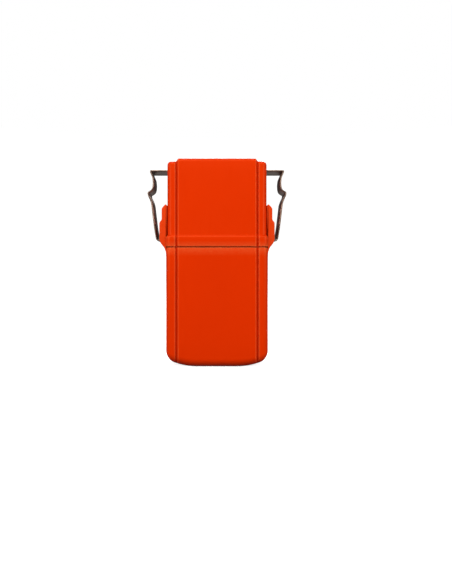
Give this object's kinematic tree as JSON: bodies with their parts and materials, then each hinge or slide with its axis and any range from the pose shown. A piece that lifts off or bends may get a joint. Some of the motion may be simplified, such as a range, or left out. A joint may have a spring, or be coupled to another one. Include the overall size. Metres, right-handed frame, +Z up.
{
  "type": "avalanche transceiver",
  "caption": "Upright avalanche transceiver: rounded two-part moulded case with a pull-off cap, hinged steel side latches, and a selector, button, lamp and speaker on its back.",
  "frame": {"origin": "middle of the flat of the base, on the surface that the case stands on", "axes": "+Z up the length of the case towards the cap, +X to the right seen from the plain front, -Y out of the plain front, +Y out of the back with the controls"},
  "size_m": [0.086, 0.0385, 0.128],
  "materials": {
    "orange_shell": "moulded, satin gloss",
    "black_plastic": "fine moulded texture",
    "black_rubber": "matt",
    "spring_steel": "rolled and brushed",
    "nickel_brass": "nickel plated",
    "marking_disc": "printed",
    "lamp_body": "moulded epoxy",
    "lamp_lens": "clear moulded",
    "cone_paper": "pressed paper",
    "grille_cloth": "woven",
    "foam": "closed-cell foam",
    "board_laminate": "solder mask",
    "ferrite": "sintered",
    "copper_wire": "enamelled copper wire",
    "capacitor_sleeve": "shrunk sleeve",
    "cell_wrap": "wrapped steel can"
  },
  "bodies": {
    "case": {"case_body": "orange_shell", "seam_seal": "black_rubber", "hinge_pin_left": "spring_steel", "hinge_pin_right": "spring_steel", "control_plate": "black_plastic", "plate_screw_1": "spring_steel", "plate_screw_2": "spring_steel", "plate_screw_3": "spring_steel", "plate_screw_4": "spring_steel", "selector_switch": "black_plastic", "bushing_nut": "nickel_brass", "loudspeaker_basket": "spring_steel", "loudspeaker_cone": "cone_paper", "loudspeaker_magnet": "spring_steel", "grille_cloth": "grille_cloth", "signal_lamp": "lamp_body", "lamp_lens": "lamp_lens", "test_switch": "black_plastic", "earphone_socket": "spring_steel", "circuit_board": "board_laminate", "board_screw_1": "spring_steel", "board_screw_2": "spring_steel", "board_screw_3": "spring_steel", "board_screw_4": "spring_steel", "ferrite_rod": "ferrite", "aerial_winding": "copper_wire", "rod_clip_lower": "black_rubber", "rod_clip_upper": "black_rubber", "receiver_chip": "black_plastic", "timing_chip": "black_plastic", "filter_can": "spring_steel", "tuning_can": "spring_steel", "crystal": "spring_steel", "capacitor_1": "capacitor_sleeve", "capacitor_2": "capacitor_sleeve", "cell_carrier": "black_plastic", "deck_screw_left": "spring_steel", "deck_screw_right": "spring_steel", "cell_contact_left": "spring_steel", "cell_contact_right": "spring_steel", "cell_spring_left": "spring_steel", "cell_spring_right": "spring_steel", "cell_left": "cell_wrap", "cell_right": "cell_wrap"},
    "cap": {"case_cap": "orange_shell", "cell_bridge_contact": "spring_steel", "cap_pad": "foam"},
    "latch_left": {"latch_left": "spring_steel"},
    "latch_right": {"latch_right": "spring_steel"},
    "selector": {"selector_shaft": "spring_steel", "selector_knob": "black_plastic", "knob_disc": "marking_disc"},
    "test_button": {"test_button": "black_rubber"},
    "socket_plug": {"socket_plug": "black_rubber"}
  },
  "joints": [
    {"name": "cap_slide", "type": "slide", "parent": "case", "child": "cap", "axis": [0, 0, 1], "range_m": [0, 0.055]},
    {"name": "latch_left_hinge", "type": "hinge", "parent": "case", "child": "latch_left", "pos_m": [-0.035, 0, 0.079], "axis": [0, -1, 0], "range_deg": [0, 140]},
    {"name": "latch_right_hinge", "type": "hinge", "parent": "case", "child": "latch_right", "pos_m": [0.035, 0, 0.079], "axis": [0, 1, 0], "range_deg": [0, 140]},
    {"name": "selector_turn", "type": "hinge", "parent": "case", "child": "selector", "pos_m": [0, 0.0151, 0.0233], "axis": [0, 1, 0], "range_deg": [0, 210]},
    {"name": "button_press", "type": "slide", "parent": "case", "child": "test_button", "axis": [0, -1, 0], "range_m": [0, 0.0012], "stiffness_N_per_m": 800, "springref_m": -0.0008},
    {"name": "plug_pull", "type": "slide", "parent": "case", "child": "socket_plug", "axis": [0, 1, 0], "range_m": [0, 0.0145]}
  ],
  "couplings": [
    {"joint": "latch_left_hinge", "follows": "cap_slide", "rad_per_m": 44.4},
    {"joint": "latch_right_hinge", "follows": "cap_slide", "rad_per_m": 44.4}
  ]
}
